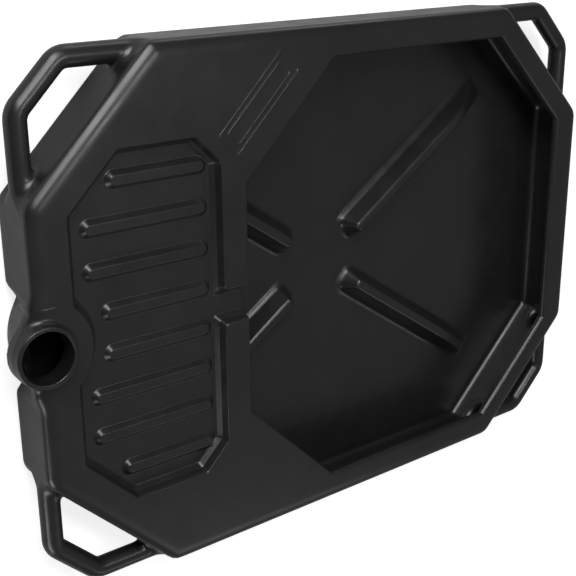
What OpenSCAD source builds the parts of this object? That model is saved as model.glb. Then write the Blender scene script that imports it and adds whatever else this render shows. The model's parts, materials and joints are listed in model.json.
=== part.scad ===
// Oil drain pan: a low hollow vessel with an octagonal catch opening, a sunken parts tray,
// a drain notch between them, a pouring spout at the tray end and four corner handles.
// Millimetres. Origin at the centre of the base, +Z up, +X towards the catch opening.

/* [Body] */
// Length of the body along X
body_l = 626; // [600:1:660]
// Width of the body along Y
body_w = 456; // [440:1:480]
// Height of the deck above the ground
body_h = 58; // [54:1:70]
// Leg of the 45 degree cut at each body corner
corner_cut = 113; // [108:1:118]
// Wall thickness of the moulded shells
wall = 3; // [2.5:0.1:3.5]
// Radius of the rounded bottom edge
base_round = 10; // [6:1:12]
// Radius of the rounded rim edge
rim_round = 7; // [5:0.5:9]
// Height of the joint between the tub and the deck
joint_z = 44; // [42:0.5:44]

/* [Catch opening] */
// Length of the opening along X
opening_l = 396; // [380:1:400]
// Width of the opening along Y
opening_w = 400; // [380:1:404]
// Leg of the 45 degree corner cuts of the opening on its tray side
opening_cut_tray = 95; // [80:1:100]
// Leg of the 45 degree corner cuts of the opening at its far end
opening_cut_end = 90; // [80:1:100]
// Width of the rim band beyond the opening at the +X end
end_band = 33; // [30:1:40]
// Depth of the turned-down lip around the opening
lip_depth = 7; // [5:0.5:9]

/* [Floor ribs] */
// Height of the floor ribs above the floor
floor_rib_h = 19; // [14:1:22]
// Width of a floor rib at its flat top
floor_rib_top = 8; // [7:1:10]
// Width of a floor rib at its foot
floor_rib_foot = 26; // [24:1:30]
// Distance from the centre to the near end of a floor rib
floor_rib_near = 54; // [50:1:60]
// Distance from the centre to the far end of a floor rib
floor_rib_far = 242; // [220:1:246]
// Angle between a floor rib and the X axis
floor_rib_angle = 34.5; // [33:0.5:36]

/* [Parts tray] */
// Length of the tray along X
tray_l = 140; // [130:1:142]
// Width of the tray along Y
tray_w = 300; // [290:1:304]
// Distance from the tray to the catch opening
tray_gap = 25; // [23:1:30]
// Depth of the tray below the deck
tray_depth = 11; // [10:0.5:11]
// Leg of the corner cut at the spout end of the tray
tray_cut_spout = 46; // [40:1:50]
// Leg of the corner cut at the opening end of the tray
tray_cut_opening = 24; // [20:1:30]
// Number of raised ribs across the tray
tray_ribs = 8; // [6:2:8]
// Spacing of the tray ribs
tray_rib_pitch = 35.5; // [34:0.5:36]
// Height of the tray ribs
tray_rib_h = 4; // [3:0.5:5]
// Width of a tray rib at its foot
tray_rib_foot = 15.6; // [14:0.2:18]
// Width of the drain notch at deck level
notch_w = 31; // [28:1:36]

/* [Spout] */
// Diameter of the pouring bore
bore_d = 42.8; // [38:0.2:44]
// Outside diameter of the spout collar
collar_d = 50.6; // [49:0.2:52]
// Height of the collar above the deck
collar_rise = 8; // [6:0.5:10]
// Distance of the bore axis outside the plane 300 mm from the centre
spout_out = 8.5; // [7:0.5:10]

/* [Handles] */
// Outside diameter of a handle tube
tube_d = 18; // [16:0.5:20]
// Height of the handle centre line above the ground
tube_z = 32; // [30:0.5:33]
// Leg of the 45 degree cut at the outer corner of a handle
handle_cut = 42.5; // [38:0.5:50]

/* [Badge panel] */
// Length of the blank badge panel
badge_l = 95; // [80:1:100]
// Width of the blank badge panel
badge_w = 28; // [20:1:28]
// Height of the raised badge frame
badge_h = 0.8; // [0.4:0.1:1.2]

/* [Hidden] */

$fn = 64;
eps = 0.01;
reach = 1200;
shell_colour = [0.16, 0.16, 0.17];

half_l = body_l / 2;
half_w = body_w / 2;
opening_x1 = half_l - end_band;
opening_x0 = opening_x1 - opening_l;
tray_x1 = opening_x0 - tray_gap;
tray_x0 = tray_x1 - tray_l;
floor_z = wall;

// The tray wall is steep down to the step, then a 45 degree bevel runs to the tray floor.
tray_step = 7;
tray_draft = 2.6;
tray_foot = tray_draft + tray_depth - tray_step;
tray_floor_z = body_h - tray_depth;
tray_clear = 42.5;

spout_x = -300 - spout_out;
boss_foot_r = 60;
boss_foot_x = -half_l - 2 + boss_foot_r;
insert_x = -298;
insert_half_w = 37;
recess_depth = 10;
recess_half_w = 37.5;

tube_r = tube_d / 2;
tube_bore_r = tube_r - wall - 0.4;
// Centre lines of the bar's two legs, and the line x + y that the corner cut follows.
bar_x = half_l - tube_r;
bar_y = half_w - tube_r;
bar_sides = 24;
cut_sum = half_l + half_w - corner_cut;
mouth_reach = 20;

// How far a corner cut shrinks when an octagon's outline moves inwards by 1.
cut_shrink = 2 - sqrt(2);

// Inset and height pairs for a wall that is rounded at its foot and at its top.
function rounded_steps(z0, z1, r0, r1, n = 4) = concat(
    [for (i = [0 : n]) let (a = 90 * i / n) [r0 * (1 - sin(a)), z0 + r0 * (1 - cos(a))]],
    [for (i = [0 : n]) let (a = 90 * i / n) [r1 * (1 - cos(a)), z1 - r1 * (1 - sin(a))]]
);

// A long bar with the same stepped wall on both sides, along Y or, turned, along X.
module slab(turned, lo, hi, steps) {
    last = len(steps) - 1;
    profile = concat(
        [for (s = steps) [hi - s[0], s[1]]],
        [for (i = [last : -1 : 0]) [lo + steps[i][0], steps[i][1]]]
    );
    rotate([90, 0, turned ? 90 : 0])
    linear_extrude(height = reach, center = true)
    polygon(profile);
}

// The eight corners of a rectangle with cut corners, moved inwards by inset, at height z.
function octagon_ring(x0, x1, half_width, cut_lo, cut_hi, inset, z) = let (
    a = x0 + inset,
    b = x1 - inset,
    w = half_width - inset,
    lo = cut_lo - inset * cut_shrink,
    hi = cut_hi - inset * cut_shrink
) [
    [b - hi, -w, z], [b, hi - w, z], [b, w - hi, z], [b - hi, w, z],
    [a + lo, w, z], [a, w - lo, z], [a, lo - w, z], [a + lo, -w, z]
];

// An octagonal block, from x0 to x1, whose four walls and four corner cuts follow the steps.
module octagon_block(x0, x1, half_width, cut_lo, cut_hi, steps) {
    top = 8 * (len(steps) - 1);
    polyhedron(
        points = [for (s = steps) each octagon_ring(x0, x1, half_width, cut_lo, cut_hi, s[0], s[1])],
        faces = concat(
            [[for (i = [0 : 7]) i]],
            [[for (i = [7 : -1 : 0]) top + i]],
            [for (ring = [0 : 8 : top - 1], i = [0 : 7]) let (next = (i + 1) % 8)
                [ring + i, ring + i + 8, ring + next + 8, ring + next]]
        )
    );
}

module body_block(inset) {
    cut = corner_cut - inset * cut_shrink;
    steps = rounded_steps(inset, body_h - inset, base_round - inset, rim_round - inset);
    octagon_block(-half_l + inset, half_l - inset, half_w - inset, cut, cut, steps);
}

// The end wall leans inwards on both sides of the spout boss, most at the ground.
module end_recess(inset) {
    translate([inset, 0, 0])
    intersection() {
        rotate([90, 0, 0])
        linear_extrude(height = 2 * half_w, center = true)
        polygon([
            [-half_l - 30, -1],
            [-half_l + recess_depth, -1],
            [-half_l - inset, joint_z],
            [-half_l - 30, joint_z]
        ]);
        linear_extrude(height = 3 * body_h, center = true)
        polygon([
            [-half_l + recess_depth, -recess_half_w],
            [-half_l + recess_depth, recess_half_w],
            [-half_l - 30, recess_half_w + recess_depth + 30],
            [-half_l - 30, -recess_half_w - recess_depth - 30]
        ]);
    }
}

module body_envelope(inset) {
    difference() {
        body_block(inset);
        end_recess(inset);
    }
}

// The spout boss: round under the collar, widening to a shallow bulge of the end wall below.
module spout_boss(inset) {
    hull() {
        translate([spout_x, 0, body_h - inset - 1])
        cylinder(r = collar_d / 2 + 1 - inset, h = 1, $fn = 48);
        translate([boss_foot_x, 0, inset])
        cylinder(r = boss_foot_r - inset, h = 1, $fn = 72);
    }
}

// The part of the end wall, floor and deck that belongs to the spout moulding.
module spout_region() {
    translate([-half_l - 60, -insert_half_w, -1])
    cube([half_l + 60 + insert_x, 2 * insert_half_w, 2 * body_h]);
}

module spout_collar() {
    translate([spout_x, 0, body_h - wall])
    cylinder(d = collar_d, h = collar_rise + wall);
}

// A ridge with a flat top, sloping sides and round sloping ends, along X.
module ridge(x0, x1, top_w, foot_w, height) {
    slope = (foot_w - top_w) / 2;
    c0 = x0 + foot_w / 2;
    c1 = x1 - foot_w / 2;
    for (x = [c0, c1]) {
        translate([x, 0, 0])
        cylinder(r1 = foot_w / 2, r2 = top_w / 2, h = height, $fn = 32);
    }
    translate([c0, 0, 0])
    rotate([90, 0, 90])
    linear_extrude(height = c1 - c0)
    polygon([
        [-foot_w / 2, 0],
        [foot_w / 2, 0],
        [foot_w / 2 - slope, height],
        [slope - foot_w / 2, height]
    ]);
}

module floor_ribs(inset) {
    trim = 4 * inset / 3;
    for (turn = [floor_rib_angle, 180 - floor_rib_angle, 180 + floor_rib_angle, -floor_rib_angle]) {
        rotate([0, 0, turn])
        ridge(
            floor_rib_near + trim / 2 - floor_rib_foot / 2, floor_rib_far - trim / 2,
            floor_rib_top - trim, floor_rib_foot - trim, floor_rib_h
        );
    }
}

// A straight length of handle bar along +X, near enough round.
module bar_length(r, length) {
    step = 360 / bar_sides;
    rotate([90, 0, 90])
    linear_extrude(height = length)
    polygon([for (i = [0 : bar_sides - 1]) r * [cos(step * (i + 0.5)), sin(step * (i + 0.5))]]);
}

// Everything on one side of an upright plane through a point.
module beyond(x, y, facing) {
    translate([x, y, 0])
    rotate([0, 0, facing])
    translate([0, -corner_cut, 0])
    cube([2 * corner_cut, 2 * corner_cut, body_h]);
}

// The bar of the handle at +X +Y: two legs and the grip between them, mitred at the bends.
module handle_bar(r) {
    mid_cut = handle_cut - tube_r * cut_shrink;
    bend_x = bar_x - mid_cut;
    bend_y = bar_y - mid_cut;
    intersection() {
        translate([0, bar_y, tube_z])
        bar_length(r, half_l);
        beyond(bend_x, bar_y, 180 - 22.5);
        beyond(cut_sum - bar_y, bar_y, 45);
    }
    intersection() {
        translate([bar_x, 0, tube_z])
        rotate([0, 0, 90])
        bar_length(r, half_w);
        beyond(bar_x, bend_y, -90 + 22.5);
        beyond(bar_x, cut_sum - bar_x, 45);
    }
    intersection() {
        translate([bend_x, bar_y, tube_z])
        rotate([0, 0, -45])
        translate([-2 * tube_r, 0, 0])
        bar_length(r, 2 * mid_cut + 4 * tube_r);
        beyond(bend_x, bar_y, -22.5);
        beyond(bar_x, bend_y, 90 + 22.5);
    }
}

// The two straight bores that open that handle into the vessel.
module handle_mouths() {
    translate([cut_sum - bar_y - mouth_reach, bar_y, tube_z])
    rotate([0, 90, 0])
    cylinder(r = tube_bore_r, h = 2 * mouth_reach);
    translate([bar_x, cut_sum - bar_x - mouth_reach, tube_z])
    rotate([-90, 0, 0])
    cylinder(r = tube_bore_r, h = 2 * mouth_reach);
}

module at_corner(sx, sy) {
    mirror([sx > 0 ? 0 : 1, 0, 0])
    mirror([0, sy > 0 ? 0 : 1, 0])
    children();
}

module corner_handle(sx, sy) {
    color(shell_colour)
    at_corner(sx, sy)
    difference() {
        handle_bar(tube_r);
        handle_bar(tube_bore_r);
    }
}

module tub() {
    color(shell_colour)
    difference() {
        union() {
            difference() {
                body_envelope(0);
                body_envelope(wall);
                translate([-half_l - 50, -half_w - 50, joint_z])
                cube([body_l + 100, body_w + 100, body_h]);
            }
            translate([0, 0, floor_z - eps])
            floor_ribs(0);
        }
        translate([0, 0, -eps])
        floor_ribs(wall);
        spout_region();
        for (sx = [-1, 1], sy = [-1, 1]) {
            at_corner(sx, sy)
            handle_mouths();
        }
    }
}

// Wall of the tray and the notch, from the floor up. grow 0 is the pocket, wall is its sheet.
function pocket_steps(grow) = [
    [tray_foot, tray_floor_z - grow],
    [tray_draft, body_h - tray_step - grow],
    [0, body_h - (grow > 0 ? grow / 2 : 0)],
    [0, body_h + (grow > 0 ? -grow / 4 : 1)]
];

module tray_pocket(grow) {
    octagon_block(
        tray_x0 - grow, tray_x1 + grow, tray_w / 2 + grow,
        tray_cut_spout + grow * cut_shrink, tray_cut_opening + grow * cut_shrink,
        pocket_steps(grow)
    );
}

// The round shoulder that keeps the tray clear of the spout.
module spout_shoulder(inset) {
    slope = tray_foot / tray_depth;
    below = wall + 1;
    translate([spout_x, 0, tray_floor_z - below])
    cylinder(
        r1 = tray_clear + tray_foot + slope * below - inset,
        r2 = tray_clear - slope * 2 - inset,
        h = tray_depth + below + 2
    );
}

module notch_pocket(grow) {
    intersection() {
        slab(true, -notch_w / 2 - grow, notch_w / 2 + grow, pocket_steps(grow));
        translate([tray_x1 - tray_foot - 1, -notch_w, 0])
        cube([tray_gap + tray_foot + 2, 2 * notch_w, 2 * body_h]);
    }
}

module opening_block(grow, z0, z1) {
    octagon_block(
        opening_x0 - grow,
        opening_x1 + grow,
        opening_w / 2 + grow,
        opening_cut_tray + grow * cut_shrink,
        opening_cut_end + grow * cut_shrink,
        [[0, z0], [0, z1]]
    );
}

module tray_rib_set() {
    for (i = [0 : tray_ribs - 1]) {
        place = i - (tray_ribs - 1) / 2;
        outer = abs(place) > tray_ribs / 2 - 1;
        inner = abs(place) < 1;
        start = outer ? 38 : inner ? 28 : 14;
        translate([0, place * tray_rib_pitch, 0])
        ridge(tray_x0 + start, tray_x1 - 9, tray_rib_foot - 2 * tray_rib_h, tray_rib_foot, tray_rib_h);
    }
}

module badge_ring(length, width, height, line) {
    linear_extrude(height = height)
    difference() {
        square([length, width], center = true);
        square([length - 2 * line, width - 2 * line], center = true);
    }
}

module badge_panel() {
    translate([-102, 170, body_h - eps])
    rotate([0, 0, 45]) {
        badge_ring(badge_l, badge_w, badge_h + eps, 1.2);
        badge_ring(badge_l - 14, badge_w - 11, badge_h + eps, 1.2);
    }
}

module deck() {
    color(shell_colour)
    union() {
        difference() {
            union() {
                difference() {
                    body_block(0);
                    body_block(wall);
                    translate([-half_l - 50, -half_w - 50, joint_z - body_h])
                    cube([body_l + 100, body_w + 100, body_h]);
                }
                difference() {
                    union() {
                        tray_pocket(wall);
                        notch_pocket(wall);
                    }
                    spout_shoulder(wall);
                }
                opening_block(wall, body_h - lip_depth, body_h - wall / 2);
            }
            difference() {
                tray_pocket(0);
                spout_shoulder(0);
            }
            notch_pocket(0);
            opening_block(0, joint_z - 5, body_h + 5);
            spout_region();
            spout_collar();
        }
        translate([0, 0, tray_floor_z - eps])
        tray_rib_set();
        badge_panel();
    }
}

// Solid outline of the spout insert: its strip of end wall, floor and deck, and the boss.
module insert_block(inset) {
    steps = rounded_steps(inset, body_h - inset, base_round - inset, rim_round - inset);
    wall_x = -half_l + inset;
    side = insert_half_w + inset;
    end_x = insert_x + inset;
    intersection() {
        slab(false, -half_l + inset, half_l - inset, steps);
        rotate([90, 0, 0])
        linear_extrude(height = 2 * side, center = true)
        polygon([
            [end_x, 0],
            [wall_x + recess_depth, 0],
            [wall_x, joint_z],
            [wall_x - 1, joint_z],
            [wall_x - 1, body_h],
            [end_x, body_h]
        ]);
    }
    intersection() {
        spout_boss(inset);
        translate([-half_l - 60, -side, 0])
        cube([half_l + 60 + end_x, 2 * side, body_h]);
    }
}

module spout() {
    color(shell_colour)
    difference() {
        union() {
            insert_block(0);
            spout_collar();
        }
        insert_block(wall);
        translate([spout_x, 0, body_h - wall - 2])
        cylinder(d = bore_d, h = collar_rise + wall + 3);
    }
}

module handle_spout_left() { corner_handle(-1, 1); }
module handle_spout_right() { corner_handle(-1, -1); }
module handle_opening_left() { corner_handle(1, 1); }
module handle_opening_right() { corner_handle(1, -1); }

tub();
deck();
spout();
handle_spout_left();
handle_spout_right();
handle_opening_left();
handle_opening_right();
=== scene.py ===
"""Oil drain pan: blow-moulded black plastic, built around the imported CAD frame.

Lengths in the shape code are millimetres, in the row's frame; meshes are made in metres.
"""

import json
import math

import bmesh
import bpy
import numpy as np
from mathutils import Matrix, Vector
from mathutils.geometry import delaunay_2d_cdt

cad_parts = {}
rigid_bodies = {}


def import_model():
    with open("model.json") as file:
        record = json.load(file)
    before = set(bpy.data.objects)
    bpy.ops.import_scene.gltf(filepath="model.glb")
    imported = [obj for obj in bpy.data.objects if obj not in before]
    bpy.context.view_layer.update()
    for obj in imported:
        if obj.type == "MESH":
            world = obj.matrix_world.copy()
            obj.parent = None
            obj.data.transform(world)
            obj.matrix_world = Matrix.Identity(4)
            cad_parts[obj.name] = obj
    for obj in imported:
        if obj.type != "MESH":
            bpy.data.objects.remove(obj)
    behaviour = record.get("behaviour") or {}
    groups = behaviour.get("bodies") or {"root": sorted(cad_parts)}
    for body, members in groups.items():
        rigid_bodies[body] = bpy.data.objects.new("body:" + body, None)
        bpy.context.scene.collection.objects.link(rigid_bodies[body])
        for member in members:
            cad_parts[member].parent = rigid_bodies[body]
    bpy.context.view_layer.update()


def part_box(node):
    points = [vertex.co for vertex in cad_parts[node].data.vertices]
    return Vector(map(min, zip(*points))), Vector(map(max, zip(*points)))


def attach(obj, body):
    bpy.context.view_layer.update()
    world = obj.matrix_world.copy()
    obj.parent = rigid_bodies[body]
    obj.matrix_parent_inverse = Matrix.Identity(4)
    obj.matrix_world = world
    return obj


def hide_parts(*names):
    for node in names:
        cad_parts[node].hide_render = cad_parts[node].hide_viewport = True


for leftover in list(bpy.data.objects):
    bpy.data.objects.remove(leftover)
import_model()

MM = 0.001
ROOT2 = math.sqrt(2)

# ---------------------------------------------------------------- driving dimensions

# The body.
tub_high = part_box("tub")[1]
HALF_L = tub_high.x / MM
HALF_W = tub_high.y / MM
TOP = 58.0
PARTING = 49.5
WALL = 3.0
CORNER_CUT = 113.0
CORNER_R = 15.5
BASE_ROUND = 10.0
RIM_INSET = 14.0
RIM_DROP = 7.5
CEILING_ROUND = 5.0

# The catch opening and its lip. SPOUT is the side by the tray, END the far side.
OPEN_MARGIN = 33.0
OPEN_LENGTH = 396.0
OPEN_X1 = HALF_L - OPEN_MARGIN
OPEN_X0 = OPEN_X1 - OPEN_LENGTH
OPEN_W = 200.0
OPEN_CUT_SPOUT = 95.0
OPEN_CUT_END = 90.0
LIP_ROUND_SPOUT = 1.8
LIP_ROUND_END = 4.5
LIP_DEPTH = 7.0
LIP_BEVEL_FROM = 6.2
LIP_BEVEL_IN = 0.7
HEM = 1.5

# The tray, the notch from it to the opening, and its ribs.
BRIDGE = 25.0
TRAY_LENGTH = 140.0
TRAY_X1 = OPEN_X0 - BRIDGE
TRAY_X0 = TRAY_X1 - TRAY_LENGTH
TRAY_W = 150.0
TRAY_CUT_SPOUT = 46.0
TRAY_CUT_OPEN = 24.0
TRAY_DEPTH = 11.0
TRAY_CLEAR = 42.5
NOTCH_W = 15.5
NOTCH_REACH = 60.0
TRAY_RIBS = 8
TRAY_RIB_PITCH = 35.5
TRAY_RIB_START = 14.0
TRAY_RIB_START_OUTER = 38.0
TRAY_RIB_START_MIDDLE = 28.0
TRAY_RIB_END = 9.0
TRAY_RIB_TOP = 3.8
TRAY_RIB_FOOT = 7.8
TRAY_RIB_H = 4.0

# The X of ribs on the floor.
FLOOR_RIB_H = 19.0
FLOOR_RIB_TOP = 4.6
FLOOR_RIB_FOOT = 13.0
FLOOR_RIB_NEAR = 54.0
FLOOR_RIB_FAR = 256.0
FLOOR_RIB_RAMP = 66.0
FLOOR_RIB_ANGLE = math.radians(34.5)

# The spout, its boss and the patch of deck and end wall that belongs to it.
SPOUT_X = -308.5
BORE_R = 21.4
COLLAR_R = 25.3
COLLAR_TOP = 66.0
COLLAR_SINK = 12.0
COLLAR_FILLET = 5.0
BOSS_FOOT_R = 60.0
BOSS_FOOT_X = -255.0
INSERT_HALF = 37.3
INSERT_X = -294.0
INSERT_RISE = 0.18
INSERT_FADE = 4.0
INSERT_R = 33.0

# The end wall: recessed low beside the boss, slightly swollen above it.
RECESS_DEPTH = 10.0
RECESS_HALF = 37.5
RECESS_TOP = 44.0
SWELL = 3.6
SWELL_HALF = 50.0
SWELL_FADE = 14.0
END_X = -285.0
END_FADE = 18.0

# The handles.
TUBE_R = 9.0
TUBE_Z = 32.0
TUBE_BORE = 5.6
HANDLE_CUT = 42.5
BEND_R = 16.0
LEG_REACH = 30.0
ROOT_REACH = 17.4
MOUTH_BLEND = 10.0

# The blank badge: length and width of its two frames.
BADGE_X = -102.0
BADGE_Y = 170.0
BADGE_FRAMES = ((95.0, 28.0), (81.0, 17.0))
BADGE_CORNER = 4.5
BADGE_LINE = 1.2
BADGE_H = 0.35

# Overlaid patches lie this far off the surface they cover, so that no two faces coincide.
PROUD = 0.03
# How far a piece may pass the CAD's box.
SLACK = 0.02

CAMERA_AT = (-631.4, 326.7, 785.4)
CAMERA_AHEAD = (0.57975, -0.33081, -0.74462)
CAMERA_RIGHT = (0.78784, -0.00552, 0.61585)
CAMERA_LENS = 68.67
CAMERA_SHIFT = (-0.0143, -0.0049)


# ---------------------------------------------------------------- plan shapes


def smooth_min(a, b, k):
    """The smaller of two distances, blended over k where they are close."""
    h = np.clip(0.5 + 0.5 * (b - a) / k, 0, 1)
    return b * (1 - h) + a * h - k * h * (1 - h)


def smooth_max(a, b, k):
    """The larger of two distances, blended over k where they are close."""
    return -smooth_min(-a, -b, k)


def octagon(x, y, x0, x1, half_w, cut_lo, cut_hi, soft):
    """Distance inside a rectangle with cut, softened corners. It is negative outside."""
    diag_hi = (x1 + half_w - cut_hi - x - np.abs(y)) / ROOT2
    diag_lo = (half_w - x0 - cut_lo + x - np.abs(y)) / ROOT2
    side = smooth_min(half_w - np.abs(y), diag_hi, soft)
    side = smooth_min(side, diag_lo, soft)
    return smooth_min(smooth_min(side, x1 - x, soft), x - x0, soft)


def to_segment(x, y, start, end):
    """Distance from a line between two points, and how far along it."""
    ax, ay = start
    dx, dy = end[0] - ax, end[1] - ay
    length = math.hypot(dx, dy)
    along = ((x - ax) * dx + (y - ay) * dy) / length
    t = np.clip(along, 0, length)
    return np.hypot(x - ax - t * dx / length, y - ay - t * dy / length), along


def body_inside(x, y):
    """True distance inside the body's outline, whose eight corners are rounded."""
    x, y = np.abs(x), np.abs(y)
    length, width = HALF_L - CORNER_R, HALF_W - CORNER_R
    cut = CORNER_CUT - CORNER_R * (2 - ROOT2)
    low, high = (length, width - cut), (length - cut, width)
    within = np.minimum(np.minimum(length - x, width - y), (length + width - cut - x - y) / ROOT2)
    beyond = to_segment(x, y, (length, 0), low)[0]
    beyond = np.minimum(beyond, to_segment(x, y, low, high)[0])
    beyond = np.minimum(beyond, to_segment(x, y, high, (0, width))[0])
    return np.where(within > 0, within, -beyond) + CORNER_R


def opening_inside(x, y):
    """Distance inside the catch opening."""
    return octagon(x, y, OPEN_X0, OPEN_X1, OPEN_W, OPEN_CUT_SPOUT, OPEN_CUT_END, 1.5)


def tray_inside(x, y):
    """Inside the tray, kept clear of the spout by a round shoulder, or inside its notch."""
    tray = octagon(x, y, TRAY_X0, TRAY_X1, TRAY_W, TRAY_CUT_SPOUT, TRAY_CUT_OPEN, 1.6)
    tray = smooth_min(tray, np.hypot(x - SPOUT_X, y) - TRAY_CLEAR, 2.0)
    notch = smooth_min(NOTCH_W - np.abs(y), x - TRAY_X1 + 20.0, 3.0)
    notch = np.minimum(notch, OPEN_X0 + NOTCH_REACH - x)
    return smooth_max(tray, notch, 5.0)


def tray_rib_lines():
    """The centre line of each rib across the tray."""
    for i in range(TRAY_RIBS):
        row = i - (TRAY_RIBS - 1) / 2
        start = TRAY_RIB_START
        if abs(row) > TRAY_RIBS / 2 - 1:
            start = TRAY_RIB_START_OUTER
        elif abs(row) < 1:
            start = TRAY_RIB_START_MIDDLE
        y = row * TRAY_RIB_PITCH
        yield (TRAY_X0 + start + TRAY_RIB_FOOT, y), (TRAY_X1 - TRAY_RIB_END - TRAY_RIB_FOOT, y)


def floor_rib_lines():
    """The centre line of each arm of the X on the floor."""
    for sx in (-1, 1):
        for sy in (-1, 1):
            c, s = sx * math.cos(FLOOR_RIB_ANGLE), sy * math.sin(FLOOR_RIB_ANGLE)
            yield (FLOOR_RIB_NEAR * c, FLOOR_RIB_NEAR * s), (FLOOR_RIB_FAR * c, FLOOR_RIB_FAR * s)


# ---------------------------------------------------------------- profiles


def filleted(points, radii, steps=4):
    """A polyline whose inner corners are rounded, as arrays of its two coordinates."""
    out = [points[0]]
    for before, corner, after, r in zip(points, points[1:], points[2:], radii):
        a = Vector(before) - Vector(corner)
        b = Vector(after) - Vector(corner)
        half = a.angle(b) / 2
        reach = min(r / math.tan(half), 0.49 * a.length, 0.49 * b.length)
        start = Vector(corner) + a.normalized() * reach
        end = Vector(corner) + b.normalized() * reach
        for i in range(steps + 1):
            t = i / steps
            p = start * (1 - t) ** 2 + Vector(corner) * 2 * t * (1 - t) + end * t**2
            out.append(tuple(p))
    out.append(points[-1])
    return np.array([p[0] for p in out]), np.array([p[1] for p in out])


# Depth of the tray's wall by distance inside its edge, for its top and its underside.
TRAY_WALL = filleted(
    [(-6, 0), (0, 0), (2.6, 7.0), (6.6, TRAY_DEPTH), (14, TRAY_DEPTH)], [1.6, 1.2, 2.4]
)
TRAY_UNDER = filleted(
    [(-12, 0), (-WALL, 0), (0.2, 7.6), (5.0, TRAY_DEPTH), (14, TRAY_DEPTH)], [2.0, 2.0, 2.4]
)
# Height of a rib or frame line by distance from its centre line.
TRAY_RIB = filleted(
    [(0, TRAY_RIB_H), (TRAY_RIB_TOP, TRAY_RIB_H), (TRAY_RIB_FOOT, 0), (12, 0)], [1.6, 1.6]
)
FLOOR_RIB = filleted(
    [(0, FLOOR_RIB_H), (FLOOR_RIB_TOP, FLOOR_RIB_H), (FLOOR_RIB_FOOT, 0), (24, 0)], [4.0, 8.0]
)
FLOOR_RIB_UNDER = filleted(
    [(0, FLOOR_RIB_H), (FLOOR_RIB_TOP - 2, FLOOR_RIB_H), (FLOOR_RIB_FOOT - 2.4, 0), (24, 0)],
    [2.0, 3.0],
)
BADGE_EDGE = (np.array([0, 0.3, 1.2, 4]), np.array([BADGE_H, BADGE_H, 0, 0]))


def rim_profile(steps=10):
    """The rim from the flat deck outwards and down: a long gentle curve, then the wall."""
    turns = [math.pi / 2 * i / steps for i in range(steps + 1)]
    out = [RIM_INSET * math.sin(t) ** (1 / 1.2) for t in turns] + [RIM_INSET]
    down = [RIM_DROP * (1 - math.cos(t)) for t in turns] + [TOP - PARTING]
    return np.array(out), np.array(down)


RIM = rim_profile()


def deck_height(x, y):
    """Height of the deck's upper face, with the tray, its ribs and the notch sunk into it."""
    z = TOP - np.interp(tray_inside(x, y), *TRAY_WALL)
    for start, end in tray_rib_lines():
        away, _ = to_segment(x, y, start, end)
        z = z + np.interp(away, *TRAY_RIB)
    return z + badge_frame(x, y)


def deck_underside(x, y):
    """Height of the deck's underside, where the tray hangs down."""
    return TOP - WALL - np.interp(tray_inside(x, y), *TRAY_UNDER)


def badge_distance(x, y, length, width):
    """Distance outside a rounded rectangle that lies on the deck at 45 degrees."""
    u = (x - BADGE_X + y - BADGE_Y) / ROOT2
    v = (y - BADGE_Y - x + BADGE_X) / ROOT2
    du = np.abs(u) - length / 2 + BADGE_CORNER
    dv = np.abs(v) - width / 2 + BADGE_CORNER
    past_corner = np.hypot(np.maximum(du, 0), np.maximum(dv, 0))
    return past_corner - BADGE_CORNER + np.minimum(np.maximum(du, dv), 0)


def badge_frame(x, y):
    """Height of the two raised frames of the blank badge."""
    z = np.zeros_like(x)
    for length, width in BADGE_FRAMES:
        line = badge_distance(x, y, length, width) + BADGE_LINE
        z = z + np.interp(np.abs(line), *BADGE_EDGE)
    return z


def badge_curve(length, width, out):
    """A rounded rectangle of the badge, grown by out."""
    steps = [math.pi / 2 * i / 5 for i in range(6)]
    r = BADGE_CORNER + out
    flat = []
    for quadrant in range(4):
        turn = quadrant * math.pi / 2
        su = 1 if quadrant in (0, 3) else -1
        sv = 1 if quadrant in (0, 1) else -1
        cu, cv = su * (length / 2 - BADGE_CORNER), sv * (width / 2 - BADGE_CORNER)
        flat += [(cu + r * math.cos(turn + t), cv + r * math.sin(turn + t)) for t in steps]
    flat = resampled_sides(np.array(flat), 10.0)
    u, v = flat.T
    return np.column_stack([BADGE_X + (u - v) / ROOT2, BADGE_Y + (u + v) / ROOT2])


def badge_curves():
    """Both edges of the badge's frame lines, as outlines."""
    out = []
    for length, width in BADGE_FRAMES:
        for edge in BADGE_EDGE[0][1:-1]:
            for side in (-1, 1):
                out.append(badge_curve(length, width, side * edge - BADGE_LINE))
    return out


def blunt(x, y, start, end):
    """Like to_segment, but with blunter ends, half-way between round and square."""
    _, along = to_segment(x, y, start, end)
    dx, dy = end[0] - start[0], end[1] - start[1]
    length = math.hypot(dx, dy)
    side = (dx * (y - start[1]) - dy * (x - start[0])) / length
    past = np.maximum(np.maximum(-along, along - length), 0)
    return (np.abs(side) ** 3 + past**3) ** (1 / 3), along


def floor_ridge(x, y, profile):
    """Height of the floor's ribs above the floor. Each runs out in a ramp at its far end."""
    z = np.zeros_like(x)
    for start, end in floor_rib_lines():
        away, along = blunt(x, y, start, end)
        left = np.clip((FLOOR_RIB_FAR - FLOOR_RIB_NEAR - along) / FLOOR_RIB_RAMP, 0, 1)
        z = np.maximum(z, np.interp(away, *profile) * (1 - (1 - left) ** 2))
    return z


def floor_height(x, y):
    """Height of the floor inside the tub."""
    return WALL + floor_ridge(x, y, FLOOR_RIB)


def floor_underside(x, y):
    """Height of the floor's underside, where the ribs are hollow."""
    return floor_ridge(x, y, FLOOR_RIB_UNDER)


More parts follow.
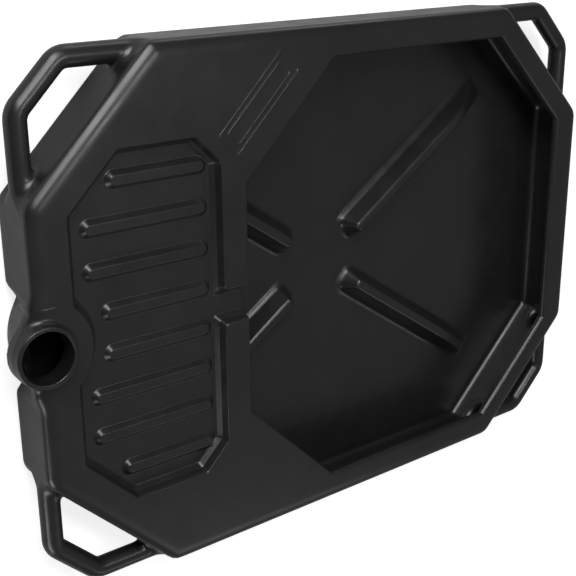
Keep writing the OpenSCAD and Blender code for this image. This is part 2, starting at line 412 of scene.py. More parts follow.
def end_shift(y, z):
    """How far the end wall sits inwards: a recess low beside the spout, a slight swell above."""
    depth = RECESS_DEPTH * np.clip(1 - z / RECESS_TOP, 0, 1)
    soft = 0.3 * depth + 1e-6
    sunk = smooth_max(smooth_min(depth, depth + RECESS_HALF - np.abs(y), soft), 0 * y, soft)
    near = np.clip((SWELL_HALF - np.abs(y)) / SWELL_FADE, 0, 1)
    return sunk - SWELL * near**2 * (3 - 2 * near) * np.clip(z / TOP, 0, 1)


# ---------------------------------------------------------------- curves at a distance


def gradient(inside, p, step=0.01):
    """How inside() changes along x and y at some points."""
    x, y = p[:, 0], p[:, 1]
    gx = (inside(x + step, y) - inside(x - step, y)) / (2 * step)
    gy = (inside(x, y + step) - inside(x, y - step)) / (2 * step)
    return np.stack([gx, gy], 1)


def pull_to(inside, p, level):
    """Moves points onto the curve where inside() equals level."""
    for _ in range(6):
        g = gradient(inside, p)
        miss = inside(p[:, 0], p[:, 1]) - level
        p = p - (miss / np.maximum((g**2).sum(1), 0.05))[:, None] * g
    return p


def resampled(p, spacing):
    """Points at an even spacing round a closed outline."""
    loop = np.vstack([p, p[:1]])
    run = np.concatenate([[0], np.cumsum(np.hypot(*np.diff(loop, axis=0).T))])
    n = max(12, int(run[-1] / spacing))
    at = np.linspace(0, run[-1], n, endpoint=False)
    return np.stack([np.interp(at, run, loop[:, 0]), np.interp(at, run, loop[:, 1])], 1)


def thinned(p, longest=18.0, turn=math.radians(5)):
    """Drops points along straight stretches of a closed outline."""
    step = np.roll(p, -1, 0) - p
    heading = np.unwrap(np.arctan2(step[:, 1], step[:, 0]))
    keep = [0]
    for i in range(1, len(p)):
        bent = abs(heading[i] - heading[keep[-1]]) > turn
        if bent or np.hypot(*(p[i] - p[keep[-1]])) > longest:
            keep.append(i)
    return p[keep]


def level_curve(inside, outline, level, spacing=1.0):
    """The closed curve near an outline on which inside() equals level."""
    p = pull_to(inside, resampled(np.array(outline, float), spacing), level)
    p = pull_to(inside, resampled(p, spacing), level)
    return thinned(p)


def octagon_outline(x0, x1, half_w, cut_lo, cut_hi, inset=0.0):
    """The corners of a cut rectangle, counter-clockwise, moved inwards by inset."""
    shrink = inset * (2 - ROOT2)
    a, b, w = x0 + inset, x1 - inset, half_w - inset
    lo, hi = cut_lo - shrink, cut_hi - shrink
    return [
        (b - hi, -w), (b, hi - w), (b, w - hi), (b - hi, w),
        (a + lo, w), (a, w - lo), (a, lo - w), (a + lo, -w),
    ]


def body_curve(level):
    """The body's outline, moved inwards by level."""
    outline = octagon_outline(-HALF_L, HALF_L, HALF_W, CORNER_CUT, CORNER_CUT, level)
    return level_curve(body_inside, outline, level, 0.5)


def lip_round(x):
    """Radius of the opening's edge: crisp by the tray and softer towards the far end."""
    along = [OPEN_X0 + 60, OPEN_X0 + 160]
    return np.interp(x, along, [LIP_ROUND_SPOUT, LIP_ROUND_END])


def lip_start(x, y):
    """Is -1 where the flat deck begins to turn down into the opening."""
    return opening_inside(x, y) / lip_round(x)


def lip_curve():
    """The line on the deck where the lip begins to turn down."""
    outline = octagon_outline(OPEN_X0, OPEN_X1, OPEN_W, OPEN_CUT_SPOUT, OPEN_CUT_END, -3.0)
    return level_curve(lip_start, outline, -1.0)


def tray_curve(level):
    """The tray's edge moved inwards by level, with the notch carried on into the opening."""
    outline = octagon_outline(TRAY_X0, TRAY_X1, TRAY_W, TRAY_CUT_SPOUT, TRAY_CUT_OPEN, level)
    notch_x = OPEN_X0 + NOTCH_REACH / 2
    mouth = [
        (TRAY_X1 - level, -NOTCH_W - 2), (notch_x, level - NOTCH_W),
        (notch_x, NOTCH_W - level), (TRAY_X1 - level, NOTCH_W + 2),
    ]
    reach = TRAY_CLEAR + level
    angle = math.asin(30 / reach)
    shoulder = [
        (SPOUT_X + reach * math.cos(t), reach * math.sin(t))
        for t in np.linspace(angle, -angle, 9)
    ]
    corners = outline[:2] + mouth + outline[2:6] + shoulder + outline[6:]
    p = pull_to(tray_inside, resampled(np.array(corners, float), 1.0), level)
    p = pull_to(tray_inside, resampled(p, 1.0), level)
    return thinned(p, longest=8.0)


def stadium_curve(start, end, r):
    """A rounded outline at distance r from a line."""
    a, b = Vector(start), Vector(end)
    heading = math.atan2(b.y - a.y, b.x - a.x)
    steps = 10 if r < 6 else 14
    out = []
    for centre, turn in ((b, -math.pi / 2), (a, math.pi / 2)):
        for i in range(steps + 1):
            t = heading + turn + math.pi * i / steps
            out.append((centre.x + r * math.cos(t), centre.y + r * math.sin(t)))
    return resampled_sides(np.array(out), 10.0)


def box_curve(start, end, r):
    """A rectangle at distance r round a line, with its corners rounded."""
    a, b = Vector(start), Vector(end)
    along = (b - a).normalized() * r
    across = Vector((-along.y, along.x))
    corners = [b + along - across, b + along + across, a - along + across, a - along - across]
    p = resampled(np.array([tuple(q) for q in corners]), 1.0)
    p = pull_to(lambda x, y: -blunt(x, y, start, end)[0], p, -r)
    return thinned(p, longest=8.0, turn=math.radians(9))


def resampled_sides(p, longest):
    """Adds points along the sides of a closed outline that are longer than longest."""
    out = []
    for a, b in zip(p, np.roll(p, -1, 0)):
        n = max(1, int(math.ceil(np.hypot(*(b - a)) / longest)))
        out += [a + (b - a) * i / n for i in range(n)]
    return np.array(out)


# ---------------------------------------------------------------- mesh building


class Shell:
    """Collects points and faces, and turns them into one welded mesh object."""

    def __init__(self):
        self.points, self.faces = [], []

    def add(self, points):
        """Adds points and returns their numbers."""
        base = len(self.points)
        self.points.extend(map(tuple, np.asarray(points, float)))
        return np.arange(base, len(self.points))

    def loft(self, rings, flip=False):
        """Quads between closed rings of equal length, each an array of point numbers."""
        for lower, upper in zip(rings, rings[1:]):
            n = len(lower)
            for i in range(n):
                j = (i + 1) % n
                quad = [lower[i], lower[j], upper[j], upper[i]]
                self.faces.append(quad[::-1] if flip else quad)

    def sheet(self, curves, height, hole=None, flip=False, runs=()):
        """A sheet inside the outermost of some closed curves, through them and open runs.

        It leaves out the area where hole(x, y) is true. Returns its boundary loops as
        rings, the widest first.
        """
        flat, edges = [], []
        for i, c in enumerate(list(curves) + list(runs)):
            base = len(flat)
            flat += [Vector((float(x), float(y))) for x, y in c]
            edges += [(base + j, base + j + 1) for j in range(len(c) - 1)]
            if i < len(curves):
                edges.append((base + len(c) - 1, base))
        verts, _, tris, _, _, _ = delaunay_2d_cdt(flat, edges, [], 1, 1e-4)
        p = np.array([tuple(v) for v in verts])
        tris = np.array(tris)
        if hole:
            centre = p[tris].mean(1)
            tris = tris[~hole(centre[:, 0], centre[:, 1])]
        used = np.unique(tris)
        number = np.full(len(p), -1)
        z = height(p[used, 0], p[used, 1])
        number[used] = self.add(np.column_stack([p[used], z]))
        tris = number[tris]
        self.faces += [list(t[::-1] if flip else t) for t in tris]
        return sorted(boundary_loops(tris), key=self.span, reverse=True)

    def pushed(self, ring, normals, out, down):
        """A copy of a ring, moved along its normals and down."""
        p = np.array([self.points[i] for i in ring])
        p[:, :2] += normals * out
        p[:, 2] -= down
        return self.add(p)

    def match_heights(self, loop, ring):
        """Gives points of a loop the height of the ring's point at the same place."""
        height = {self.spot(i): self.points[i][2] for i in ring}
        for i in loop:
            x, y, z = self.points[i]
            self.points[i] = (x, y, height.get(self.spot(i), z))

    def spot(self, i):
        """A point's place in plan, rounded so that equal places compare equal."""
        return tuple(np.round(self.points[i][:2], 3))

    def xy(self, ring):
        """The points of a ring in plan."""
        return np.array([self.points[i][:2] for i in ring])

    def span(self, ring):
        """A ring's length plus its width."""
        return np.ptp(self.xy(ring), axis=0).sum()

    def shape_end(self):
        """Applies the recess and swell of the end wall at the spout."""
        p = np.array(self.points)
        fade = np.clip((END_X - p[:, 0]) / END_FADE, 0, 1)
        p[:, 0] += end_shift(p[:, 1], p[:, 2]) * fade
        self.points = [tuple(q) for q in p]

    def finish(self, name, weld=0.004):
        """Makes the object, with points closer than weld joined and all faces outwards."""
        mesh = bpy.data.meshes.new(name)
        points = [tuple(MM * c for c in p) for p in self.points]
        mesh.from_pydata(points, [], [[int(i) for i in f] for f in self.faces])
        work = bmesh.new()
        work.from_mesh(mesh)
        bmesh.ops.remove_doubles(work, verts=work.verts, dist=weld * MM)
        bmesh.ops.recalc_face_normals(work, faces=work.faces)
        work.to_mesh(mesh)
        work.free()
        return linked(name, mesh)


def linked(name, data):
    """A new object in the scene."""
    obj = bpy.data.objects.new(name, data)
    bpy.context.scene.collection.objects.link(obj)
    return obj


def open_run(curve, limit):
    """The part of a closed curve short of a limit in x, as an open run of points."""
    beyond = curve[:, 0] > limit
    first = np.flatnonzero(beyond & ~np.roll(beyond, -1))[0] + 1
    curve, beyond = np.roll(curve, -first, 0), np.roll(beyond, -first)
    return curve[~beyond]


def boundary_loops(tris):
    """The open edges of a triangle list, joined into loops that keep the sheet on the left."""
    half = np.vstack([tris[:, [0, 1]], tris[:, [1, 2]], tris[:, [2, 0]]])
    seen = set(map(tuple, half.tolist()))
    follows = {a: b for a, b in seen if (b, a) not in seen}
    loops = []
    while follows:
        start = min(follows)
        at = follows.pop(start)
        loop = [start]
        while at != start:
            loop.append(at)
            at = follows.pop(at)
        loops.append(np.array(loop))
    return loops


def outward(inside, p):
    """Unit directions in plan that lead out of a shape."""
    g = -gradient(inside, p)
    return g / np.linalg.norm(g, axis=1)[:, None]


def quarter(r, steps):
    """Offsets (out, down) of a quarter round from flat to upright."""
    turns = [math.pi / 2 * i / steps for i in range(1, steps + 1)]
    return [(r * math.sin(t), r * (1 - math.cos(t))) for t in turns]


# ---------------------------------------------------------------- the deck


def deck_face(s):
    """Adds the upper face. Returns its outer loop and the loop round the opening."""
    wall_levels = np.unique(np.round(TRAY_WALL[0][1:-1], 3))
    curves = [resampled_sides(body_curve(RIM_INSET), 5.0), lip_curve()]
    curves += [tray_curve(d) for d in wall_levels] + badge_curves()
    for start, end in tray_rib_lines():
        curves += [stadium_curve(start, end, r) for r in np.unique(TRAY_RIB[0][1:-1])]
    return s.sheet(curves, deck_height, hole=lambda x, y: lip_start(x, y) > -1)[:2]


def deck_rim(s, edge):
    """Adds the rim, down to the parting and across the wall's thickness."""
    n = outward(body_inside, s.xy(edge))
    rings = [edge] + [s.pushed(edge, n, out, down) for out, down in list(zip(*RIM))[1:]]
    rings.append(s.pushed(edge, n, RIM_INSET - WALL, TOP - PARTING))
    s.loft(rings)


def deck_lip(s, edge):
    """Adds the lip: rounded over, turned down, and back up to the deck's underside."""
    n = -outward(opening_inside, s.xy(edge))
    r = lip_round(s.xy(edge)[:, 0])
    reach = n * r[:, None]
    rings = [edge] + [s.pushed(edge, reach, out, down * r) for out, down in quarter(1.0, 5)]
    profile = [
        (0, LIP_BEVEL_FROM), (LIP_BEVEL_IN, LIP_DEPTH),
        (WALL - LIP_BEVEL_IN, LIP_DEPTH), (WALL, LIP_BEVEL_FROM),
        (WALL, WALL + HEM), (WALL + HEM, WALL),
    ]
    for back, down in profile:
        rings.append(s.pushed(edge, n * (r - back)[:, None], 1.0, down))
    s.loft(rings)
    return rings[-1]


def deck_ceiling(s, rim, hem):
    """Adds the underside, from the lip's last ring out to the parting."""
    n = outward(body_inside, s.xy(rim))
    curves = [s.xy(rim) + n * (RIM_INSET - WALL - CEILING_ROUND), s.xy(hem)]
    levels = np.unique(np.round(TRAY_UNDER[0][1:-1], 3))
    notch_end = OPEN_X0 - LIP_ROUND_SPOUT - 6.0
    runs = [open_run(tray_curve(d), notch_end) for d in levels]
    loops = s.sheet(
        curves,
        deck_underside,
        hole=lambda x, y: opening_inside(x, y) > -WALL - HEM,
        flip=True,
        runs=runs,
    )
    for loop in loops:
        s.match_heights(loop, hem)
    edge = loops[0]
    n = outward(body_inside, s.xy(edge))
    rings = [edge]
    rings += [s.pushed(edge, n, out, down) for out, down in quarter(CEILING_ROUND, 4)]
    rings.append(s.pushed(edge, n, CEILING_ROUND, TOP - WALL - PARTING))
    s.loft(rings, flip=True)


def deck_piece():
    """The deck with its rim, opening, tray, notch and badge frame."""
    s = Shell()
    rim, opening = deck_face(s)
    deck_rim(s, rim)
    hem = deck_lip(s, opening)
    deck_ceiling(s, rim, hem)
    s.shape_end()
    return s.finish("deck_shell")


# ---------------------------------------------------------------- the tub


def tub_wall(s, edge, inset, foot, steps):
    """Rings from a sheet's edge, round the base by inset and up to the parting."""
    n = outward(body_inside, s.xy(edge))
    rings = [edge] + [s.pushed(edge, n, out, -rise) for out, rise in quarter(inset, steps)]
    for z in (20.0, 30.0, RECESS_TOP, PARTING):
        rings.append(s.pushed(edge, n, inset, foot - z))
    return rings


def tub_piece():
    """The tub: floor with hollow ribs, rounded base and upright walls."""
    s = Shell()
    curves = [resampled_sides(body_curve(BASE_ROUND), 4.0)]
    for start, end in floor_rib_lines():
        curves += [box_curve(start, end, r) for r in np.unique(FLOOR_RIB[0][1:-1])]
        curves += ramp_curves(start, end)
    floor = s.sheet(curves, floor_height)[0]
    base = s.sheet(curves, floor_underside, flip=True)[0]
    outer = tub_wall(s, base, BASE_ROUND, 0, 7)
    inner = tub_wall(s, floor, BASE_ROUND - WALL, WALL, 6)
    s.loft(outer)
    s.loft(inner, flip=True)
    s.loft([outer[-1], inner[-1]])
    s.shape_end()
    return s.finish("tub_shell")


def ramp_curves(start, end):
    """Cross lines where a floor rib runs down into the floor, as thin closed outlines."""
    a, b = Vector(start), Vector(end)
    along = (b - a).normalized()
    across = Vector((-along.y, along.x)) * FLOOR_RIB_FOOT
    out = []
    for i in range(7):
        at = b - along * (FLOOR_RIB_RAMP * i / 6)
        out.append(np.array([at - across, at, at + across]))
    return out


# ---------------------------------------------------------------- implicit pieces


def net_points(f, low, step):
    """A point in each grid cell that the zero surface of f passes through.

    Returns the points, and a grid of their numbers with -1 in the other cells.
    """
    shape = [n - 1 for n in f.shape]
    total = np.zeros(shape + [3])
    count = np.zeros(shape)
    cut = lambda c: f[tuple(slice(o, o + n) for o, n in zip(c, shape))]
    corners = [(i, j, k) for i in (0, 1) for j in (0, 1) for k in (0, 1)]
    for a in corners:
        for axis in range(3):
            if a[axis]:
                continue
            b = tuple(c + (i == axis) for i, c in enumerate(a))
            fa, fb = cut(a), cut(b)
            crossed = (fa < 0) != (fb < 0)
            t = np.where(crossed, fa / np.where(crossed, fa - fb, 1), 0)
            for i in range(3):
                total[..., i] += np.where(crossed, a[i] + (t if i == axis else 0), 0)
            count += crossed
    used = count > 0
    number = np.full(shape, -1)
    number[used] = np.arange(used.sum())
    p = np.array(low) + (np.argwhere(used) + total[used] / count[used][:, None]) * step
    return p, number


def net_faces(full, number):
    """Quads round each grid edge that leads out of the full part, as point numbers."""
    faces = []
    for axis in range(3):
        u, v = (axis + 1) % 3, (axis + 2) % 3
        crossed = full != np.roll(full, -1, axis)
        crossed[tuple(slice(-1, None) if i == axis else slice(None) for i in range(3))] = False
        at = np.argwhere(crossed)
        within = (at[:, u] > 0) & (at[:, u] < number.shape[u])
        within &= (at[:, v] > 0) & (at[:, v] < number.shape[v])
        at = at[within]
        quad = []
        for du, dv in ((-1, -1), (0, -1), (0, 0), (-1, 0)):
            c = at.copy()
            c[:, u] += du
            c[:, v] += dv
            quad.append(number[tuple(c.T)])
        quad = np.stack(quad, 1)
        turned = ~full[tuple(at.T)]
        quad[turned] = quad[turned][:, ::-1]
        faces.append(quad)
    return np.vstack(faces)


def net_mesh(name, field, low, high, step):
    """A smooth mesh of the surface where field(x, y, z) is zero; it is negative inside."""
    axes = [np.arange(a, b + step, step) for a, b in zip(low, high)]
    f = field(*np.meshgrid(*axes, indexing="ij"))
    p, number = net_points(f, low, step)
    for _ in range(3):
        p = p + settle(field, p, 0.4 * step)
    shell = Shell()
    shell.add(p)
    shell.faces = net_faces(f < 0, number).tolist()
    return shell.finish(name)


def settle(field, p, most):
    """The move that takes each point onto the surface, no longer than most."""
    e = 0.05
    g = np.zeros_like(p)
    for i in range(3):
        shift = np.zeros(3)
        shift[i] = e
        g[:, i] = (field(*(p + shift).T) - field(*(p - shift).T)) / (2 * e)
    move = -(field(*p.T) / np.maximum((g**2).sum(1), 0.1))[:, None] * g
    length = np.linalg.norm(move, axis=1)[:, None]
    return move * np.minimum(1, most / np.maximum(length, 1e-9))


def rim_edge(inset, below):
    """Field of the rim's profile, by distance inside the wall and below the deck."""
    out = RIM_INSET - inset
    drop = np.interp(out, *RIM)
    slope = np.gradient(RIM[1], RIM[0] + 1e-3 * np.arange(len(RIM[0])))
    steep = np.interp(out, RIM[0], np.minimum(slope, 3.0))
    face = (drop - below) / np.sqrt(1 + steep**2)
    return np.maximum(face, -inset)


def rounded_edge(a, b, r):
    """Field of a corner with distances a and b inside its two faces, rounded by r."""
    qa, qb = r - a, r - b
    outer = np.hypot(np.maximum(qa, 0), np.maximum(qb, 0))
    return outer + np.minimum(np.maximum(qa, qb), 0) - r


# ---------------------------------------------------------------- the spout


def end_wall_inside(x, y, z):
    """Distance inside the end wall, with the boss that leans inwards towards the ground."""
    low = np.clip(1 - z / TOP, 0, 1)
    centre = SPOUT_X + (BOSS_FOOT_X - SPOUT_X) * low
    radius = COLLAR_R - 1.5 + (BOSS_FOOT_R - COLLAR_R) * low
    boss = (radius - np.hypot(x - centre, y)) * 0.9
    blend = (4.0 + 9.0 * (1 - low)) * np.clip((INSERT_HALF + 1 - np.abs(y)) / 10.0, 0.05, 1)
    return smooth_max(x + HALF_L - end_shift(y, z), boss, blend)


def spout_field(x, y, z):
    """The wall's skin with the boss, the collar on it and the bore through both."""
    wall = end_wall_inside(x, y, z)
    raised = INSERT_RISE * np.clip((INSERT_X - x) / INSERT_FADE, 0, 1) - PROUD
    body = np.maximum(rim_edge(wall, TOP - z), rounded_edge(wall, z, BASE_ROUND)) - raised
    body = np.maximum(body, -z - SLACK)
    skin = np.maximum(body, -(body + WALL))
    from_axis = np.hypot(x - SPOUT_X, y)
    collar = smooth_max(from_axis - COLLAR_R, z - COLLAR_TOP, 1.4)
    collar = np.maximum(collar, TOP - COLLAR_SINK - z)
    solid = smooth_min(skin, collar, COLLAR_FILLET)
    bore = np.maximum(from_axis - BORE_R, TOP - COLLAR_SINK - 2 - z)
    solid = smooth_max(solid, -bore, 1.2)
    patch = np.maximum(np.abs(y) - INSERT_HALF, x - INSERT_X)
    patch = np.minimum(patch, from_axis - INSERT_R)
    return smooth_max(solid, patch, 0.3)


def spout_piece():
    """The spout with its boss, as a patch of the deck and the end wall."""
    low = (SPOUT_X - COLLAR_R - 4, -INSERT_HALF - 3, -1.5)
    high = (SPOUT_X + INSERT_R + 3, INSERT_HALF + 3, COLLAR_TOP + 2)
    return net_mesh("spout_insert", spout_field, low, high, step=0.92)


# ---------------------------------------------------------------- the handles


def handle_lines():
    """Centre lines of the two legs at +X +Y, and where each meets the cut corner."""
    cx, cy = HALF_L - TUBE_R, HALF_W - TUBE_R
    cut_sum = HALF_L + HALF_W - CORNER_CUT
    return cx, cy, cut_sum - cy, cut_sum - cx


def handle_path():
    """Centre line of the handle at +X +Y as points, with its two bends as arcs."""
    cx, cy, root_x, root_y = handle_lines()
    mid = HANDLE_CUT - TUBE_R * (2 - ROOT2)
    bend = BEND_R * math.tan(math.pi / 8)
    points = [(root_x - LEG_REACH, cy)]
    for i in range(7):
        t = math.radians(45 * i / 6)
        points.append((cx - mid - bend + BEND_R * math.sin(t), cy - BEND_R + BEND_R * math.cos(t)))
    for i in range(7):
        t = math.radians(45 + 45 * i / 6)
        points.append((cx - BEND_R + BEND_R * math.sin(t), cy - mid - bend + BEND_R * math.cos(t)))
    points.append((cx, root_y - LEG_REACH))
    return points


def handle_field(x, y, z):
    """The tube, flared into a patch of the tub's wall, with one cavity through both."""
    cx, cy, root_x, root_y = handle_lines()
    path = handle_path()
    away = to_segment(x, y, path[0], path[1])[0]
    for a, b in zip(path[1:], path[2:]):
        away = np.minimum(away, to_segment(x, y, a, b)[0])
    from_line = np.hypot(away, z - TUBE_Z)
    depth = body_inside(x, y)
    leg_x = np.maximum(np.hypot(y - cy, z - TUBE_Z), np.abs(x - root_x))
    leg_y = np.maximum(np.hypot(x - cx, z - TUBE_Z), np.abs(y - root_y))
    patch = np.minimum(leg_x, leg_y) - ROOT_REACH
    tube = np.maximum(from_line - TUBE_R, depth - WALL)
    outer = smooth_min(tube, np.maximum(-depth - PROUD, patch), ROOT_REACH - TUBE_R)
    cavity = smooth_min(from_line - TUBE_BORE, WALL + PROUD - depth, MOUTH_BLEND)
    solid = np.maximum(outer, -cavity)
    return np.maximum(np.maximum(solid, y - HALF_W - SLACK), x - HALF_L - SLACK)


def handle_piece():
    """The handle at +X +Y, from which the four are mirrored."""
    reach = CORNER_CUT + LEG_REACH
    low = (HALF_L - reach, HALF_W - reach, TUBE_Z - ROOT_REACH - 2)
    high = (HALF_L + 2, HALF_W + 2, TUBE_Z + ROOT_REACH + 2)
    return net_mesh("corner_grip", handle_field, low, high, step=1.15)


def mirrored(piece, name, sx, sy):
    """A copy of a piece at another corner of the pan."""
    mesh = piece.data.copy()
    mesh.transform(Matrix.Diagonal((sx, sy, 1, 1)))
    if sx * sy < 0:
        mesh.flip_normals()
    return linked(name, mesh)


# ---------------------------------------------------------------- holes and shading


def rod(start, end, radius, sides=48):
    """A round bar between two points, used to cut holes."""
    a, b = Vector(start), Vector(end)
    turn = (b - a).to_track_quat("Z", "Y").to_matrix().to_4x4()
    work = bmesh.new()
    bmesh.ops.create_cone(
        work, cap_ends=True, segments=sides, radius1=radius * MM, radius2=radius * MM,
        depth=(b - a).length * MM, matrix=Matrix.Translation((a + b) / 2 * MM) @ turn,
    )
    mesh = bpy.data.meshes.new("rod")
    work.to_mesh(mesh)
    work.free()
    return linked("rod", mesh)


def spout_way(bottom, top, clear=5.0):
    """A bar that keeps the way through the spout open."""
    return rod((SPOUT_X, 0, bottom), (SPOUT_X, 0, top), BORE_R + clear, 96)


def cut_away(obj, cutters):
    """Removes the cutters from a closed piece, then deletes them."""
    for cutter in cutters:
        mod = obj.modifiers.new("cut", "BOOLEAN")
        mod.operation = "DIFFERENCE"
        mod.solver = "EXACT"
        mod.object = cutter
    bpy.context.view_layer.update()
    solid = obj.evaluated_get(bpy.context.evaluated_depsgraph_get())
    obj.data = bpy.data.meshes.new_from_object(solid)
    obj.modifiers.clear()
    for cutter in cutters:
        bpy.data.objects.remove(cutter)


def handle_leg_rods(reach=15):
    """Bars through the tub's wall at the eight mouths of the handles."""
    cx, cy, root_x, root_y = handle_lines()
    out = []
    for sx in (-1, 1):
        for sy in (-1, 1):
            for x, y, dx, dy in ((root_x, cy, reach, 0), (cx, root_y, 0, reach)):
                start = (sx * (x - dx), sy * (y - dy), TUBE_Z)
                end = (sx * (x + dx), sy * (y + dy), TUBE_Z)
                out.append(rod(start, end, TUBE_BORE + MOUTH_BLEND + 1.5))
    return out


def smooth_shading(obj, sharp_angle=38):
    """Smooth shading that keeps real edges crisp and flat faces flat."""
    obj.data.shade_smooth()
    obj.data.set_sharp_from_angle(angle=math.radians(sharp_angle))
    mod = obj.modifiers.new("normals", "WEIGHTED_NORMAL")
    mod.keep_sharp = True
    mod.weight = 80


# ---------------------------------------------------------------- materials


def plastic(name, tone, rough, grain):
    """Dark moulded polyethylene: uneven sheen, fine grain and faint handling marks."""
    mat = bpy.data.materials.new(name)
    mat.use_nodes = True
    nodes, links = mat.node_tree.nodes, mat.node_tree.links
    shader = nodes["Principled BSDF"]
    where = nodes.new("ShaderNodeTexCoord")

    def noise(scale, detail):
        """A cloudy value over the object; the scale is in cells per metre."""
        node = nodes.new("ShaderNodeTexNoise")
        node.inputs["Scale"].default_value = scale
        node.inputs["Detail"].default_value = detail
        links.new(where.outputs["Object"], node.inputs["Vector"])
        return node.outputs["Fac"]

    def ranged(value, low, high):
        """The middle of a noise, stretched to run from low to high."""
        node = nodes.new("ShaderNodeMapRange")
        node.inputs["From Min"].default_value = 0.3
        node.inputs["From Max"].default_value = 0.7
        node.inputs["To Min"].default_value = low
        node.inputs["To Max"].default_value = high
        links.new(value, node.inputs["Value"])
        return node.outputs["Result"]

    broad, fine = noise(14.0, 4.0), noise(700.0, 1.0)
    shade = nodes.new("ShaderNodeMix")
    shade.data_type = "RGBA"
    links.new(ranged(broad, 0.0, 1.0), shade.inputs[0])
    shade.inputs[6].default_value = (tone * 0.85, tone * 0.87, tone * 0.9, 1)
    shade.inputs[7].default_value = (tone * 1.15, tone * 1.17, tone * 1.2, 1)
    links.new(shade.outputs[2], shader.inputs["Base Color"])
    links.new(ranged(noise(45.0, 5.0), rough - 0.04, rough + 0.05), shader.inputs["Roughness"])
    bump = nodes.new("ShaderNodeBump")
    bump.inputs["Strength"].default_value = grain
    bump.inputs["Distance"].default_value = 0.0002
    links.new(fine, bump.inputs["Height"])
    links.new(bump.outputs["Normal"], shader.inputs["Normal"])
    shader.inputs["IOR"].default_value = 1.5
    return mat


def studio_floor():
    """A plain pale floor, lighter to the camera than to the pan."""
    bpy.ops.mesh.primitive_plane_add(size=12.0, location=(0, 0, -0.0004))
    floor = bpy.context.object
    floor.name = "floor"
    mat = bpy.data.materials.new("pale_floor")
    mat.use_nodes = True
    nodes, links = mat.node_tree.nodes, mat.node_tree.links
    shader = nodes["Principled BSDF"]
    grain = nodes.new("ShaderNodeTexNoise")
    grain.inputs["Scale"].default_value = 3.0
    ramp = nodes.new("ShaderNodeMapRange")
    ramp.inputs["To Min"].default_value = 0.52
    ramp.inputs["To Max"].default_value = 0.58
    links.new(grain.outputs["Fac"], ramp.inputs["Value"])
    links.new(ramp.outputs["Result"], shader.inputs["Base Color"])
    shader.inputs["Roughness"].default_value = 0.9
    glow = nodes.new("ShaderNodeEmission")
    glow.inputs["Strength"].default_value = 0.75
    seen = nodes.new("ShaderNodeLightPath")
    lit = nodes.new("ShaderNodeAddShader")
    links.new(shader.outputs[0], lit.inputs[0])
    links.new(glow.outputs[0], lit.inputs[1])
    pick = nodes.new("ShaderNodeMixShader")
    links.new(seen.outputs["Is Camera Ray"], pick.inputs[0])
    links.new(shader.outputs[0], pick.inputs[1])
    links.new(lit.outputs[0], pick.inputs[2])
    links.new(pick.outputs[0], nodes["Material Output"].inputs["Surface"])
    floor.data.materials.append(mat)


# ---------------------------------------------------------------- light and camera


def soft_light(name, at, target, size, power, spread=180):
    """A rectangular area light; spread is the angle it shines into, in degrees."""
    data = bpy.data.lights.new(name, "AREA")
    data.shape = "RECTANGLE"
    data.size, data.size_y = size
    data.energy = power
    data.spread = math.radians(spread)
    obj = linked(name, data)
    obj.location = at
    obj.rotation_euler = (Vector(target) - Vector(at)).to_track_quat("-Z", "Y").to_euler()


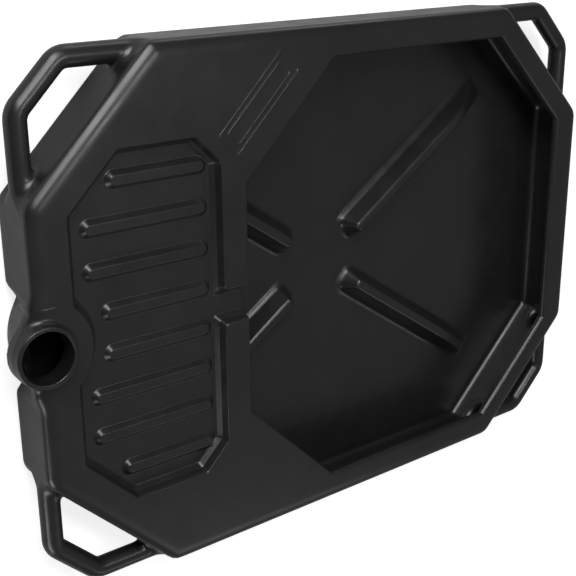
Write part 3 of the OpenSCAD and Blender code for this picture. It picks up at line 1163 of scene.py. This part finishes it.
def studio_lights():
    """A dim sky, brightest high on one side, and six soft lights."""
    world = bpy.data.worlds.new("studio")
    bpy.context.scene.world = world
    world.use_nodes = True
    nodes, links = world.node_tree.nodes, world.node_tree.links
    background = nodes["Background"]
    background.inputs["Color"].default_value = (1, 1, 1, 1)
    where = nodes.new("ShaderNodeTexCoord")
    facing = nodes.new("ShaderNodeVectorMath")
    facing.operation = "DOT_PRODUCT"
    facing.inputs[1].default_value = Vector((0.35, -0.45, 0.82)).normalized()
    links.new(where.outputs["Generated"], facing.inputs[0])
    level = nodes.new("ShaderNodeMapRange")
    level.inputs["From Min"].default_value = 0.1
    level.inputs["To Min"].default_value = 0.035
    level.inputs["To Max"].default_value = 0.24
    links.new(facing.outputs["Value"], level.inputs["Value"])
    links.new(level.outputs["Result"], background.inputs["Strength"])
    soft_light("key", (-0.60, 1.10, 1.0), (0, 0, 0), (0.6, 1.3), 22.0)
    soft_light("overhead", (0.15, 0.3, 1.6), (0, 0, 0), (0.4, 0.25), 4.0)
    soft_light("spout_side", (-1.2, -1.1, 0.5), (-0.2, 0, 0), (0.8, 0.5), 6.0)
    soft_light("opening_side", (0.5, -1.4, 1.0), (0.1, 0, 0), (0.9, 0.4), 1.6)
    soft_light("far_side", (0.7, 1.7, 0.12), (0, 0.2, 0), (1.2, 0.2), 3.0)
    soft_light("far_floor", (0.35, 0.9, 0.5), (0.35, 0.9, 0), (1.0, 0.7), 3.5, spread=50)
    bpy.context.scene.view_settings.view_transform = "Standard"


def photo_camera():
    """The camera the pan is judged from, high beyond the spout end."""
    right = Vector(CAMERA_RIGHT).normalized()
    ahead = Vector(CAMERA_AHEAD)
    ahead = (ahead - right * ahead.dot(right)).normalized()
    up = right.cross(ahead)
    data = bpy.data.cameras.new("camera")
    data.sensor_width = 36.0
    data.lens = CAMERA_LENS
    data.shift_x, data.shift_y = CAMERA_SHIFT
    data.clip_start, data.clip_end = 0.05, 20.0
    obj = linked("camera", data)
    turn = Matrix((right, up, -ahead)).transposed().to_4x4()
    obj.matrix_world = Matrix.Translation(Vector(CAMERA_AT) * MM) @ turn
    bpy.context.scene.camera = obj


# ---------------------------------------------------------------- assembly


def place(piece, node, material):
    """Gives a piece its look and its place in the frame."""
    piece.data.materials.clear()
    piece.data.materials.append(material)
    smooth_shading(piece)
    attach(piece, "root")
    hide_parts(node)


shell_plastic = plastic("shell_plastic", 0.011, 0.31, 0.04)
spout_plastic = plastic("spout_plastic", 0.010, 0.30, 0.03)
handle_plastic = plastic("handle_plastic", 0.011, 0.30, 0.03)

deck = deck_piece()
cut_away(deck, [spout_way(40, 70)])
place(deck, "deck", shell_plastic)

tub = tub_piece()
cut_away(tub, [spout_way(9, 60)] + handle_leg_rods())
place(tub, "tub", shell_plastic)

place(spout_piece(), "spout", spout_plastic)

grip = handle_piece()
for end, sx in (("spout", -1), ("opening", 1)):
    for side, sy in (("left", 1), ("right", -1)):
        node = f"handle_{end}_{side}"
        piece = mirrored(grip, node + "_grip", sx, sy)
        place(piece, node, handle_plastic)
bpy.data.objects.remove(grip)

studio_floor()
studio_lights()
photo_camera()
